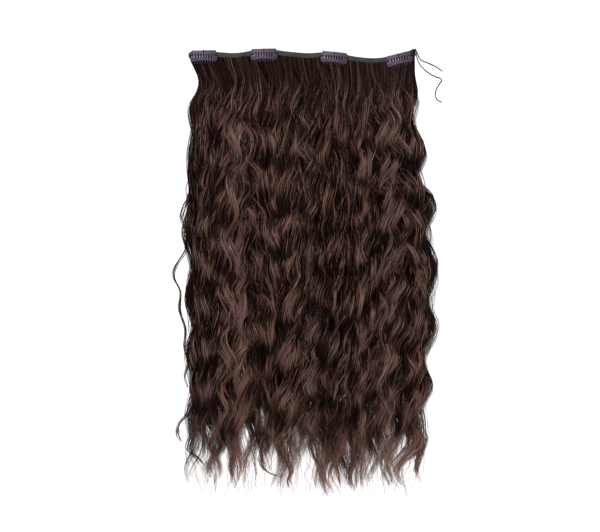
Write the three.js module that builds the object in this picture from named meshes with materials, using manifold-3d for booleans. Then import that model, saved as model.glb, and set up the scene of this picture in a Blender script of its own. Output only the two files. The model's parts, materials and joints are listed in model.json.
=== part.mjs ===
// A clip-in hair extension: one wide weft of long wavy hair with four sewn-on snap comb clips.
// It lies on a flat surface with the clips facing up. Millimetres, +Z up, +Y from the hair's tips
// towards the weft, +X to the right. The origin is the middle of the weft's underside.

import * as THREE from "three";
import { mergeVertices } from "three/addons/utils/BufferGeometryUtils.js";
import Module from "manifold-3d";

const wasm = await Module();
wasm.setup();

const GAP = 0.3; // between any two pieces that touch

// The weft: the doubled, machine-sewn track that carries the hair.
const WEFT_LENGTH = 204;
const WEFT_HEIGHT = 4.4;
const WEFT_THICKNESS = 2;
const WEFT_EDGE = 0.6; // the rounding along its four long edges
const WEFT_SWAY = 4.5; // how far its line strays up and down as it lies
const WEFT_STEPS = 48;

// The hair that hangs from it.
const HAIR_LENGTH = 394; // from the weft to the longest tip, along the surface
const HAIR_DEPTH = 15; // at the fullest part of the locks
const HAIR_ROOT_DEPTH = 1.6; // where it leaves the weft, flat under the clips
const HAIR_ROOT_RUN = 16; // how far below the weft it stays that flat
const HAIR_RISE_RUN = 60; // over how much more length it rises to its full depth
const WAVE_LENGTH = 53;
const WAVE_SWING = 4.6; // sideways, each way
const WAVE_LIFT = 0.2; // up and down, as a share of the lock's depth
const WAVE_RISE = [0.02, 0.13]; // the shares of the length over which the waves set in
const WAVE_FADE = 0.6; // how much of the swing is lost towards a lock's tip
const LOCK_WIDTH = 25;
const LOCK_SECTIONS = 26;
const LOCK_TAPER_FROM = 0.74; // share of a lock's length at which it starts to taper
const LOCK_TIP_WIDTH = 0.14; // share of its width that is left at the tip
const LOCK_OVERCUT = 1; // how far a lock reaches below the surface before it is cut flat
const BACKING_DEPTH = 2.4;
const BACKING_OVERCUT = 2;
const LOCK_START = 4; // below the weft's lower edge
const BACKING_COLUMNS = 36;
const BACKING_WIDTH = 0.96; // share of the hair's width
const BACKING_REACH = [0.86, 0.93]; // of its notches and of its points, down the hair

// The snap comb clips, sewn on along the weft's top edge.
const CLIP_LENGTH = 24; // over both ears
const CLIP_HEIGHT = 11.8; // from the top edge to the tooth tips
const CLIP_CAMBER = 1; // how far the middle arches off the weft
const SHEET = 0.5; // the pressed spring steel
const TOP_BAR_LENGTH = 22.4;
const TOP_BAR_HEIGHT = 3.7;
const TOP_BAR_CORNER = 1.1;
const NOTCH_WIDTH = 0.9;
const NOTCH_DEPTH = 2.8;
const TOOTH_COUNT = 8;
const TOOTH_PITCH = 2.35;
const TOOTH_ROOT_WIDTH = 1.25;
const TOOTH_TIP_WIDTH = 0.75;
const TOOTH_ARCH = 0.8; // how far a tooth rises over the bow
const TOOTH_TIP_DROP = 0.6; // how far its tip hooks back down
const BACK_STRIP_INSET = 0.6; // how far the frame hides behind the top bar's edge
const BACK_STRIP_HEIGHT = 2;
const BOW_TOP = 6.7; // from the clip's top edge to the bow that the teeth close over
const BOW_HEIGHT = 2.3;
const BOW_RISE = 0.7; // how much the bow arches between the ears
const EAR_WIDTH = 3.5;
const EAR_BULGE_AT = 5.1; // down from the top edge, where the ear is widest
const EAR_FOOT_TAPER = 1.5; // how far the ear's foot draws in
const EAR_HOLE_RADIUS = 0.55;
const EAR_HOLE_SPACING = 3.3;
const EAR_HOLE_SIDES = 8;
const BEND_STEP = 3; // longest straight edge in the bent frame
const BAR_STEPS = 4;
const CORNER_STEPS = 2;
const TOOTH_STEPS = 3;

// The two loose ends of the sewing thread, at the weft's right end.
const THREAD_DIAMETER = 0.9;
const THREAD_SIDES = 8;
const THREAD_STEPS_PER_MM = 0.7;

const COLOURS = {
  hair: 0x3a2620,
  weft: 0x24211f,
  clip: 0x6b5468,
  thread: 0x1c1a1a,
};

// The weft's line as it lies: how far along, and how high it sways there, both as shares.
const SWAY = [
  { along: -0.5, sway: 0.1 },
  { along: -0.433, sway: 0.5 },
  { along: -0.36, sway: 0.16 },
  { along: -0.29, sway: 0.02 },
  { along: -0.168, sway: 0.82 },
  { along: -0.06, sway: 0.3 },
  { along: 0.02, sway: 0 },
  { along: 0.144, sway: 0.18 },
  { along: 0.23, sway: -0.66 },
  { along: 0.31, sway: -1 },
  { along: 0.36, sway: -0.86 },
  { along: 0.4225, sway: -0.16 },
  { along: 0.5, sway: 0.72 },
];

// Where each clip's middle sits, as a share of the weft's length.
const CLIP_PLACES = [-0.433, -0.168, 0.144, 0.4225];

// The hair's outline and depth, level by level: shares of its length, of half the weft's
// length, and of its depth.
const LEVELS = [
  { down: 0, left: -0.985, right: 0.985, depth: 0.1 },
  { down: 0.063, left: -0.9, right: 0.985, depth: 0.3 },
  { down: 0.12, left: -0.965, right: 0.99, depth: 0.6 },
  { down: 0.22, left: -0.955, right: 1.01, depth: 0.8 },
  { down: 0.34, left: -0.995, right: 1.09, depth: 0.92 },
  { down: 0.45, left: -0.985, right: 1.135, depth: 1 },
  { down: 0.54, left: -0.98, right: 1.15, depth: 1 },
  { down: 0.63, left: -0.975, right: 1.12, depth: 0.98 },
  { down: 0.74, left: -0.98, right: 1.075, depth: 0.9 },
  { down: 0.87, left: -0.975, right: 1.055, depth: 0.7 },
  { down: 1, left: -0.97, right: 1.02, depth: 0.34 },
];

// The locks from left to right: the lane each one lies in, from -1 to 1 across the hair,
// how far down it reaches, how wide it is, where in its wave it starts, and how long and
// how wide its waves are. All but the phase are shares of the sizes above.
const LOCKS = [
  { lane: -0.93, reach: 0.91, width: 0.8, phase: 0.1, wave: 1.1, swing: 0.6 },
  { lane: -0.77, reach: 0.957, width: 1, phase: 0.52, wave: 0.98, swing: 0.8 },
  { lane: -0.62, reach: 0.983, width: 1, phase: 0.3, wave: 1.15, swing: 0.9 },
  { lane: -0.47, reach: 0.952, width: 0.95, phase: 0.85, wave: 1, swing: 0.8 },
  { lane: -0.31, reach: 0.94, width: 1, phase: 0.62, wave: 1.08, swing: 1 },
  { lane: -0.15, reach: 0.98, width: 1.05, phase: 0.12, wave: 0.96, swing: 0.7 },
  { lane: 0, reach: 0.9, width: 0.9, phase: 0.4, wave: 1.12, swing: 0.9 },
  { lane: 0.16, reach: 1, width: 1.05, phase: 0.74, wave: 1.02, swing: 0.8 },
  { lane: 0.31, reach: 0.975, width: 1, phase: 0.22, wave: 1.18, swing: 0.9 },
  { lane: 0.45, reach: 0.99, width: 0.95, phase: 0.5, wave: 0.97, swing: 0.8 },
  { lane: 0.6, reach: 0.925, width: 1, phase: 0.95, wave: 1.1, swing: 1 },
  { lane: 0.77, reach: 0.975, width: 1, phase: 0.35, wave: 1.05, swing: 0.9 },
  { lane: 0.93, reach: 0.978, width: 0.8, phase: 0.7, wave: 1, swing: 1 },
];

// A lock's section, round on top: across as a share of half its width, up as a share of its
// depth, with 0 for the flat underside.
const LOCK_SECTION = [
  [-1, 0],
  [1, 0],
  [0.88, 0.5],
  [0.45, 1],
  [-0.45, 1],
  [-0.88, 0.5],
];

// The loose thread ends, from the weft's right end outward: right, up and how high they lie.
const LONG_THREAD = [
  [0.85, -3.3, 1.1],
  [1.2, -6, 0.7],
  [2.2, -9.6, 0.5],
  [4.9, -14.5, 0.5],
  [8.6, -18.3, 0.5],
  [13.6, -22, 0.5],
  [19, -24.7, 0.5],
  [22.6, -25.9, 0.5],
  [23.7, -27.7, 0.5],
  [22, -30.2, 0.5],
  [19.5, -34.6, 0.5],
  [17.9, -39.2, 0.5],
  [18.8, -43.7, 0.5],
  [21.4, -46.2, 0.5],
  [24.3, -47.3, 0.5],
];
const SHORT_THREAD = [
  [0.85, -1.4, 1.1],
  [2.2, -3.9, 0.8],
  [3.2, -7, 0.55],
  [5.6, -9.5, 0.5],
  [11.4, -12, 0.5],
  [19, -15.7, 0.5],
  [24.4, -19.5, 0.5],
];

// A smooth line through the rows of a table, from one column to another.
function tableLine(rows, from, to) {
  const line = new THREE.CubicInterpolant(
    rows.map((row) => row[from]),
    rows.map((row) => row[to]),
    1,
  );
  return (value) => line.evaluate(value)[0];
}

const swayLine = tableLine(SWAY, "along", "sway");
const middleSway = swayLine(0) * WEFT_SWAY;

// The height of the weft's top edge at x. The weft's middle is level with the origin.
function topEdge(x) {
  const along = THREE.MathUtils.clamp(x / WEFT_LENGTH, -0.5, 0.5);
  return swayLine(along) * WEFT_SWAY - middleSway + WEFT_HEIGHT / 2;
}

// The slope of the weft over a stretch of its length centred on x, in radians.
function slopeAt(x, stretch) {
  return Math.atan2(
    topEdge(x + stretch / 2) - topEdge(x - stretch / 2),
    stretch,
  );
}

// A closed body through rings of points. Each ring has the same even number of points, and
// its first half runs along one side and its second half back along the other.
function loft(rings) {
  const sides = rings[0].length;
  const position = rings.flat().flatMap((point) => [point.x, point.y, point.z]);
  const index = [];
  for (let ring = 0; ring + 1 < rings.length; ring++) {
    for (let side = 0; side < sides; side++) {
      const a = ring * sides + side;
      const b = ring * sides + ((side + 1) % sides);
      index.push(a, b, b + sides, a, b + sides, a + sides);
    }
  }
  const last = (rings.length - 1) * sides;
  for (let a = 0; a + 1 < sides / 2; a++) {
    const [b, c, d] = [a + 1, sides - 2 - a, sides - 1 - a];
    index.push(a, c, b, a, d, c);
    index.push(last + a, last + b, last + c, last + a, last + c, last + d);
  }
  return new THREE.BufferGeometry()
    .setAttribute("position", new THREE.Float32BufferAttribute(position, 3))
    .setIndex(index);
}

function toSolid(geometry) {
  const bare = geometry.clone();
  bare.deleteAttribute("normal");
  bare.deleteAttribute("uv");
  const merged = mergeVertices(bare, 1e-4);
  return new wasm.Manifold(
    new wasm.Mesh({
      numProp: 3,
      vertProperties: new Float32Array(merged.attributes.position.array),
      triVerts: new Uint32Array(merged.index.array),
    }),
  );
}

function fromSolid(solid) {
  const mesh = solid.getMesh();
  const position = new THREE.BufferAttribute(
    new Float32Array(mesh.vertProperties),
    3,
  );
  return new THREE.BufferGeometry()
    .setAttribute("position", position)
    .setIndex(new THREE.BufferAttribute(new Uint32Array(mesh.triVerts), 1));
}

function piece(name, geometry, material) {
  geometry.computeVertexNormals();
  const mesh = new THREE.Mesh(geometry, material);
  mesh.name = name;
  return mesh;
}

// The weft: a flat strip with rounded long edges that follows its swaying line.
function makeWeft() {
  const half = WEFT_HEIGHT / 2;
  const section = [
    [-half, WEFT_EDGE],
    [-half + WEFT_EDGE, 0],
    [half - WEFT_EDGE, 0],
    [half, WEFT_EDGE],
    [half, WEFT_THICKNESS - WEFT_EDGE],
    [half - WEFT_EDGE, WEFT_THICKNESS],
    [-half + WEFT_EDGE, WEFT_THICKNESS],
    [-half, WEFT_THICKNESS - WEFT_EDGE],
  ];
  const rings = [];
  for (let step = 0; step <= WEFT_STEPS; step++) {
    const x = WEFT_LENGTH * (step / WEFT_STEPS - 0.5);
    const middle = topEdge(x) - half;
    rings.push(
      section.map(([across, up]) => new THREE.Vector3(x, middle + across, up)),
    );
  }
  return loft(rings);
}

const leftLine = tableLine(LEVELS, "down", "left");
const rightLine = tableLine(LEVELS, "down", "right");
const depthLine = tableLine(LEVELS, "down", "depth");

// A place in the hair: lane runs from -1 to 1 across it and down from 0 to 1 along it.
// Near the weft the levels follow the weft's line, and further down they lie straight.
function hairPlace(lane, down, aside = 0) {
  const left = leftLine(down);
  const right = rightLine(down);
  const x =
    (((left + right) / 2 + (lane * (right - left)) / 2) * WEFT_LENGTH) / 2 +
    aside;
  const follow = 1 - THREE.MathUtils.smoothstep(down, 0, 0.3);
  const straight = -WEFT_HEIGHT / 2;
  const root = topEdge(x) - WEFT_HEIGHT;
  const y =
    THREE.MathUtils.lerp(straight, root, follow) - GAP - down * HAIR_LENGTH;
  return new THREE.Vector2(x, y);
}

// How high the hair stands at a level: flat under the clips, then rising to its full depth.
function depthAt(down) {
  const { lerp, smoothstep } = THREE.MathUtils;
  const run = down * HAIR_LENGTH - HAIR_ROOT_RUN;
  const rise = smoothstep(run, 0, HAIR_RISE_RUN);
  return lerp(HAIR_ROOT_DEPTH, depthLine(down) * HAIR_DEPTH, rise);
}

// One lock: a wavy tapering strand, round on top and flat where it lies on the surface.
function makeLock({ lane, reach, width, phase, wave, swing }) {
  const { lerp, smoothstep } = THREE.MathUtils;
  const rings = [];
  const start = LOCK_START / HAIR_LENGTH;
  for (let step = 0; step <= LOCK_SECTIONS; step++) {
    const share = step / LOCK_SECTIONS;
    const down = lerp(start, reach, share);
    const waves = (down * HAIR_LENGTH) / (WAVE_LENGTH * wave);
    const turn = 2 * Math.PI * (waves + phase);
    const started = smoothstep(down, ...WAVE_RISE);
    const ending = smoothstep(share, LOCK_TAPER_FROM, 1);
    const taper = lerp(1, LOCK_TIP_WIDTH, ending);
    const half = (LOCK_WIDTH / 2) * width * taper;
    const swung = started * (1 - WAVE_FADE * ending) * swing * WAVE_SWING;
    const lift = 1 - started * WAVE_LIFT * (1 + Math.cos(turn));
    const top = depthAt(down) * lift * Math.sqrt(taper);
    rings.push(
      LOCK_SECTION.map(([across, up]) => {
        const aside = swung * Math.sin(turn) + across * half;
        const place = hairPlace(lane, down, aside);
        const z = up > 0 ? up * top : -LOCK_OVERCUT;
        return new THREE.Vector3(place.x, place.y, z);
      }),
    );
  }
  return loft(rings);
}

// The backing: the thin layer of hair that every lock is fused to, ragged at its lower edge.
function makeBacking() {
  const rings = [];
  for (const { down } of LEVELS) {
    const lower = [];
    const upper = [];
    for (let column = 0; column <= BACKING_COLUMNS; column++) {
      const lane = BACKING_WIDTH * ((2 * column) / BACKING_COLUMNS - 1);
      const reach = BACKING_REACH[column % 2];
      const place = hairPlace(lane, down * reach);
      const depth = Math.min(depthAt(down), BACKING_DEPTH);
      lower.push(new THREE.Vector3(place.x, place.y, -BACKING_OVERCUT));
      upper.push(new THREE.Vector3(place.x, place.y, depth));
    }
    rings.push([...lower, ...upper.reverse()]);
  }
  return loft(rings);
}

// Everything is fused first and then cut flat where it lies on the surface.
function makeHair() {
  let solid = toSolid(makeBacking());
  for (const lock of LOCKS) {
    solid = solid.add(toSolid(makeLock(lock)));
  }
  const below = new THREE.BoxGeometry(
    3 * WEFT_LENGTH,
    3 * HAIR_LENGTH,
    2 * BACKING_OVERCUT,
  ).translate(0, 0, -BACKING_OVERCUT);
  return fromSolid(solid.subtract(toSolid(below)));
}

// An outline with no edge longer than BEND_STEP, so that the sheet bends smoothly.
function bendable(outline) {
  return outline.flatMap((point, i) => {
    const next = outline[(i + 1) % outline.length];
    const parts = Math.ceil(point.distanceTo(next) / BEND_STEP);
    return Array.from({ length: parts }, (_, part) =>
      point.clone().lerp(next, part / parts),
    );
  });
}

function circle(x, y, radius, sides) {
  return Array.from({ length: sides }, (_, side) => {
    const turn = (2 * Math.PI * side) / sides;
    return new THREE.Vector2(
      x + radius * Math.cos(turn),
      y + radius * Math.sin(turn),
    );
  });
}

// How far a clip stands off the weft at x, measured from the clip's middle.
function camber(x) {
  const aside = (2 * x) / CLIP_LENGTH;
  return CLIP_CAMBER * (1 - aside * aside);
}

// The clip's frame: a strip behind the top bar, an ear at each end and the bow between them.
// In a clip's own frame y is 0 at the top edge and the teeth point to -y.
function makeFrame() {
  const stripEnd = TOP_BAR_LENGTH / 2 - TOP_BAR_CORNER;
  const earOut = CLIP_LENGTH / 2;
  const earFoot = -(BOW_TOP + BOW_HEIGHT + BOW_RISE);
  const bowEnd = earOut - EAR_WIDTH;
  const stripLow = -(BACK_STRIP_INSET + BACK_STRIP_HEIGHT);
  const half = new THREE.Path()
    .moveTo(0, -BACK_STRIP_INSET)
    .lineTo(stripEnd, -BACK_STRIP_INSET)
    .lineTo(stripEnd, stripLow)
    .quadraticCurveTo(earOut, stripLow, earOut, -EAR_BULGE_AT)
    .quadraticCurveTo(earOut, earFoot + 1, earOut - EAR_FOOT_TAPER, earFoot)
    .lineTo(bowEnd, earFoot)
    .quadraticCurveTo(bowEnd / 2, earFoot + BOW_RISE, 0, earFoot + BOW_RISE)
    .getPoints(4);
  const windowHalf = new THREE.Path()
    .moveTo(0, stripLow)
    .lineTo(bowEnd - EAR_HOLE_RADIUS, stripLow)
    .lineTo(bowEnd, stripLow - EAR_HOLE_RADIUS)
    .lineTo(bowEnd, -BOW_TOP - BOW_RISE)
    .quadraticCurveTo(bowEnd / 2, -BOW_TOP, 0, -BOW_TOP)
    .getPoints(4);
  const holes = [-1, 1].flatMap((side) =>
    [0, 1].map((row) =>
      circle(
        side * (earOut - EAR_WIDTH / 2),
        -EAR_BULGE_AT + EAR_HOLE_RADIUS - row * EAR_HOLE_SPACING,
        EAR_HOLE_RADIUS,
        EAR_HOLE_SIDES,
      ),
    ),
  );
  const shape = new THREE.Shape(bendable(mirrored(half)).reverse());
  shape.holes = [bendable(mirrored(windowHalf)), ...holes].map(
    (hole) => new THREE.Path(hole),
  );
  const geometry = new THREE.ExtrudeGeometry(shape, {
    depth: SHEET,
    bevelEnabled: false,
  });
  const at = geometry.attributes.position;
  for (let i = 0; i < at.count; i++) {
    at.setZ(i, at.getZ(i) + camber(at.getX(i)));
  }
  geometry.deleteAttribute("normal");
  geometry.deleteAttribute("uv");
  return mergeVertices(geometry, 1e-4);
}

// A closed outline from its right half, which starts and ends on the middle line.
function mirrored(half) {
  const left = half
    .slice(1, -1)
    .reverse()
    .map((point) => new THREE.Vector2(-point.x, point.y));
  return [...half, ...left];
}

// A ring across a strip of the clip's sheet, between two corners of its underside.
function sheetRing([x1, y1], [x2, y2], lift) {
  const low1 = camber(x1) + SHEET + GAP + lift;
  const low2 = camber(x2) + SHEET + GAP + lift;
  return [
    new THREE.Vector3(x1, y1, low1),
    new THREE.Vector3(x2, y2, low2),
    new THREE.Vector3(x2, y2, low2 + SHEET),
    new THREE.Vector3(x1, y1, low1 + SHEET),
  ];
}

// The comb's top bar, notched at the middle of its top edge and rounded at its ends.
function makeTopBar() {
  const notch = NOTCH_WIDTH / 2;
  const straight = TOP_BAR_LENGTH / 2 - TOP_BAR_CORNER;
  const right = [[notch, -NOTCH_DEPTH, -TOP_BAR_HEIGHT]];
  for (let step = 0; step <= BAR_STEPS; step++) {
    const x = THREE.MathUtils.lerp(notch, straight, step / BAR_STEPS);
    right.push([x, 0, -TOP_BAR_HEIGHT]);
  }
  for (let step = 1; step <= CORNER_STEPS; step++) {
    const turn = (Math.PI / 2) * (step / CORNER_STEPS);
    const drop = TOP_BAR_CORNER * (1 - Math.cos(turn));
    const x = straight + TOP_BAR_CORNER * Math.sin(turn);
    right.push([x, -drop, -TOP_BAR_HEIGHT + drop / 2]);
  }
  const left = right.map(([x, top, foot]) => [-x, top, foot]).reverse();
  return loft(
    [...left, ...right].map(([x, top, foot]) =>
      sheetRing([x, foot], [x, top], 0),
    ),
  );
}

// One tooth, rooted inside the top bar, arching over the bow and hooking down at its tip.
function makeTooth(middle) {
  const { lerp } = THREE.MathUtils;
  const ring = (half, y, lift) =>
    sheetRing([middle - half, y], [middle + half, y], lift);
  const root = TOOTH_ROOT_WIDTH / 2;
  const tip = TOOTH_TIP_WIDTH / 2;
  const rings = [ring(root, root - TOP_BAR_HEIGHT, 0)];
  for (let step = 0; step <= TOOTH_STEPS; step++) {
    const share = step / TOOTH_STEPS;
    const y = lerp(-TOP_BAR_HEIGHT, tip - CLIP_HEIGHT, share);
    const arch = TOOTH_ARCH * Math.sin(Math.PI * share);
    rings.push(ring(lerp(root, tip, share), y, arch - TOOTH_TIP_DROP * share ** 2));
  }
  rings.push(ring(tip / 2, -CLIP_HEIGHT, -TOOTH_TIP_DROP));
  return loft(rings);
}

function makeComb() {
  let solid = toSolid(makeTopBar());
  for (let tooth = 0; tooth < TOOTH_COUNT; tooth++) {
    const middle = (tooth - (TOOTH_COUNT - 1) / 2) * TOOTH_PITCH;
    solid = solid.add(toSolid(makeTooth(middle)));
  }
  return fromSolid(solid);
}

// A clip sewn on at its place along the weft, turned to the weft's slope there.
function makeClip(number, share, material) {
  const x = share * WEFT_LENGTH;
  const clip = new THREE.Group();
  clip.add(piece(`clip_${number}_frame`, makeFrame(), material));
  clip.add(piece(`clip_${number}_comb`, makeComb(), material));
  clip.position.set(x, topEdge(x), WEFT_THICKNESS + GAP);
  clip.rotation.z = slopeAt(x, CLIP_LENGTH);
  return clip;
}

// A loose thread end from the weft's right end, lying on the surface.
function makeThread(route) {
  const endX = WEFT_LENGTH / 2;
  const endY = topEdge(endX);
  const curve = new THREE.CatmullRomCurve3(
    route.map(
      ([right, up, high]) => new THREE.Vector3(endX + right, endY + up, high),
    ),
  );
  const section = new THREE.Shape(
    circle(0, 0, THREAD_DIAMETER / 2, THREAD_SIDES),
  );
  const geometry = new THREE.ExtrudeGeometry(section, {
    steps: Math.round(curve.getLength() * THREAD_STEPS_PER_MM),
    extrudePath: curve,
    bevelEnabled: false,
  });
  geometry.deleteAttribute("normal");
  geometry.deleteAttribute("uv");
  return mergeVertices(geometry, 1e-4);
}

function material(color, roughness, metalness) {
  return new THREE.MeshStandardMaterial({ color, roughness, metalness });
}

const hairMaterial = material(COLOURS.hair, 0.5, 0);
const weftMaterial = material(COLOURS.weft, 0.9, 0);
const clipMaterial = material(COLOURS.clip, 0.35, 0.6);
const threadMaterial = material(COLOURS.thread, 0.8, 0);

const extension = new THREE.Group();
extension.add(piece("weft", makeWeft(), weftMaterial));
extension.add(piece("hair", makeHair(), hairMaterial));
CLIP_PLACES.forEach((share, i) => {
  extension.add(makeClip(i + 1, share, clipMaterial));
});
extension.add(
  piece("thread_end_long", makeThread(LONG_THREAD), threadMaterial),
);
extension.add(
  piece("thread_end_short", makeThread(SHORT_THREAD), threadMaterial),
);

export default extension;
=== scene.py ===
# %% [markdown]
# # A clip-in hair extension
# One wide weft of long wavy brown hair lies on a white table with its four snap comb clips
# facing up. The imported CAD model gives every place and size, and this lesson dresses it: it
# grows the hair strand by strand, sews the weft, enamels the clips and lights the table.

import json
import math

import bmesh
import bpy
import numpy as np
from mathutils import Matrix, Vector


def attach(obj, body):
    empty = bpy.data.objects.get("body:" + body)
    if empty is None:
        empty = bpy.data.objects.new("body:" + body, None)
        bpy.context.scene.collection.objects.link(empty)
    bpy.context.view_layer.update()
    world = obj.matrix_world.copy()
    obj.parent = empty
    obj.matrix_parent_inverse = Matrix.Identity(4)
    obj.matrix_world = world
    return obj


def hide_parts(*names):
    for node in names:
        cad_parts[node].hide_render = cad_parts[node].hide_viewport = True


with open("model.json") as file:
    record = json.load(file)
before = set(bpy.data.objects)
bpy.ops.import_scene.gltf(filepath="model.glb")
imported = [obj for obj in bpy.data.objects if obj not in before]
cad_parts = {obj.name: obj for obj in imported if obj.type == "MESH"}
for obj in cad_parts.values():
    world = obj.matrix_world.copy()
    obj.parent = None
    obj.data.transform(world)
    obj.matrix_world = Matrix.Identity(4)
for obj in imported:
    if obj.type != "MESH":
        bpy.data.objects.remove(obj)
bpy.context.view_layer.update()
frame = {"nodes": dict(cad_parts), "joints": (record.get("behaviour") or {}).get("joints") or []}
MM = 0.001
BODY = "extension"
rng = np.random.default_rng(41)

# %% [markdown]
# The photographer stood right over the table. A long lens from far above keeps the hair's
# length true from root to tip, so the camera hangs 1.6 m up and looks straight down, with
# the weft at the top of the picture. One picture pixel is 0.9 mm on the table.

# %% Camera
PIXEL, PICTURE_WIDTH = 0.9 * MM, 600
CAMERA_HEIGHT, SENSOR = 1.6, 36
picture_middle = Vector((-1.8 * MM, -189.4 * MM, 0))
camera = bpy.data.objects.new("camera", bpy.data.cameras.new("camera"))
bpy.context.collection.objects.link(camera)
camera.location = picture_middle + Vector((0, 0, CAMERA_HEIGHT))
camera.data.sensor_width = SENSOR
camera.data.lens = SENSOR * CAMERA_HEIGHT / (PICTURE_WIDTH * PIXEL)
camera.data.clip_end = 20
bpy.context.scene.camera = camera
print("lens in mm:", round(camera.data.lens, 1))

# %% [markdown]
# Small helpers. Shapes are worked out as arrays of points in millimetres, which is quick for
# thousands of strands, and only turned into metres when they become a mesh.


# %% Mesh helpers
def new_mesh(name, points, faces):
    """A mesh from points in millimetres and faces that all have as many corners."""
    points, faces = np.asarray(points, float), np.asarray(faces, np.int32)
    mesh = bpy.data.meshes.new(name)
    mesh.vertices.add(len(points))
    mesh.vertices.foreach_set("co", (points * MM).astype(np.float32).ravel())
    mesh.loops.add(faces.size)
    mesh.loops.foreach_set("vertex_index", faces.ravel())
    mesh.polygons.add(len(faces))
    starts = np.arange(0, faces.size, faces.shape[1], dtype=np.int32)
    mesh.polygons.foreach_set("loop_start", starts)
    mesh.update(calc_edges=True)
    mesh.polygons.foreach_set("use_smooth", np.ones(len(faces), bool))
    return mesh


def dress(name, mesh, finish, body=BODY, nodes=()):
    """A piece of the object: it rides on a body and may stand for CAD nodes."""
    piece = bpy.data.objects.new(name, mesh)
    bpy.context.collection.objects.link(piece)
    piece.data.materials.append(finish)
    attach(piece, body)
    if nodes:
        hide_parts(*nodes)
    return piece


def ring_faces(tubes, stations, sides):
    """Four-cornered faces of closed tubes whose points are tubes x stations x sides."""
    at = np.arange(tubes * stations * sides).reshape(tubes, stations, sides)
    nxt = np.roll(at, -1, axis=2)
    walls = np.stack([at[:, :-1], nxt[:, :-1], nxt[:, 1:], at[:, 1:]], -1).reshape(-1, 4)
    near, far = np.arange(sides // 2 - 1), sides - 1 - np.arange(sides // 2 - 1)
    cap = np.stack([near, far, far - 1, near + 1], -1)
    first, last = at[:, 0][:, cap], at[:, -1][:, cap[:, ::-1]]
    return np.concatenate([walls, first.reshape(-1, 4), last.reshape(-1, 4)])


def tubes(name, lines, radii, sides, across=(0, 0, 1)):
    """Tubes along lines (tubes x stations x 3), which never run along across.
    radii has one radius for each station, or one for each of its sides."""
    along = unit(np.gradient(lines, axis=1))
    side = unit(np.cross(along, across))
    up = np.cross(side, along)
    turn = np.linspace(0, 2 * math.pi, sides, endpoint=False)[:, None]
    ring = side[:, :, None] * np.cos(turn) + up[:, :, None] * np.sin(turn)
    radii = radii[..., None] if radii.ndim == 2 else radii
    points = lines[:, :, None] + radii[..., None] * ring
    faces = ring_faces(*points.shape[:3])
    return new_mesh(name, points.reshape(-1, 3), faces)


def unit(vectors):
    return vectors / (np.linalg.norm(vectors, axis=-1, keepdims=True) + 1e-9)


def smoothstep(value, low, high):
    share = np.clip((value - low) / (high - low), 0, 1)
    return share * share * (3 - 2 * share)


def smooth_line(at, values):
    """A smooth curve through a short table of values."""
    at, values = np.asarray(at, float), np.asarray(values, float)
    slopes = np.gradient(values, at)

    def line(x):
        x = np.clip(x, at[0], at[-1])
        i = np.clip(np.searchsorted(at, x, side="right") - 1, 0, len(at) - 2)
        step = at[i + 1] - at[i]
        t = (x - at[i]) / step
        return (
            (2 * t**3 - 3 * t**2 + 1) * values[i]
            + (t**3 - 2 * t**2 + t) * step * slopes[i]
            + (3 * t**2 - 2 * t**3) * values[i + 1]
            + (t**3 - t**2) * step * slopes[i + 1]
        )

    return line


# %% [markdown]
# Shader nodes are easier to read as sums. A Value wraps one output socket, so that
# `0.3 + 0.2 * streak` adds the Math nodes by itself. A Finish is one material, and its node
# method adds any other node: its settings first, and then what goes into its sockets.


# %% Shader maths
class Value:
    def __init__(self, finish, socket):
        self.finish, self.socket = finish, socket

    def maths(self, operation, *values):
        return self.finish.node("ShaderNodeMath", {"operation": operation}, values)

    def __add__(self, other):
        return self.maths("ADD", self, other)

    def __sub__(self, other):
        return self.maths("SUBTRACT", self, other)

    def __rsub__(self, other):
        return self.maths("SUBTRACT", other, self)

    def __mul__(self, other):
        return self.maths("MULTIPLY", self, other)

    def __pow__(self, other):
        return self.maths("POWER", self, other)

    __radd__, __rmul__ = __add__, __mul__


class Finish:
    def __init__(self, name):
        self.material = bpy.data.materials.new(name)
        self.material.use_nodes = True
        self.tree = self.material.node_tree
        self.tree.nodes.clear()

    def node(self, kind, settings=None, sockets=(), output=0):
        made = self.tree.nodes.new(kind)
        for key, value in (settings or {}).items():
            if key == "stops":
                ramp = made.color_ramp
                while len(ramp.elements) < len(value):
                    ramp.elements.new(0.5)
                for element, (place, colour) in zip(ramp.elements, value):
                    element.position, element.color = place, (*colour, 1)
            else:
                setattr(made, key, value)
        rows = sockets.items() if isinstance(sockets, dict) else enumerate(sockets)
        for key, value in rows:
            if isinstance(value, Value):
                self.tree.links.new(value.socket, made.inputs[key])
            else:
                made.inputs[key].default_value = value
        return Value(self, made.outputs[output]) if made.outputs else None

    def mix(self, share, first, second):
        settings = {"data_type": "RGBA", "clamp_factor": True}
        return self.node("ShaderNodeMix", settings, {0: share, 6: first, 7: second}, 2)

    def ramp(self, value, stops):
        return self.node("ShaderNodeValToRGB", {"stops": stops}, [value])

    def stretched(self, place, scale):
        """The coordinates place, stretched by scale along each axis."""
        settings = {"operation": "MULTIPLY"}
        return self.node("ShaderNodeVectorMath", settings, {0: place, 1: scale})

    def noise(self, place, scale, detail=2.0):
        sockets = {"Vector": place, "Scale": scale, "Detail": detail}
        return self.node("ShaderNodeTexNoise", {}, sockets)

    def surface(self, **sockets):
        """Closes the material with one Principled shader."""
        named = {key.replace("_", " "): value for key, value in sockets.items()}
        shader = self.node("ShaderNodeBsdfPrincipled", {}, named)
        self.node("ShaderNodeOutputMaterial", {}, {"Surface": shader})
        return self.material


# %% [markdown]
# The weft's line as it lies is read off the CAD weft: its top edge sways a little. The hair
# then hangs from that line. These few tables are the same as the CAD model's: the outline of
# the hair level by level, and its thirteen main locks.

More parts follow.
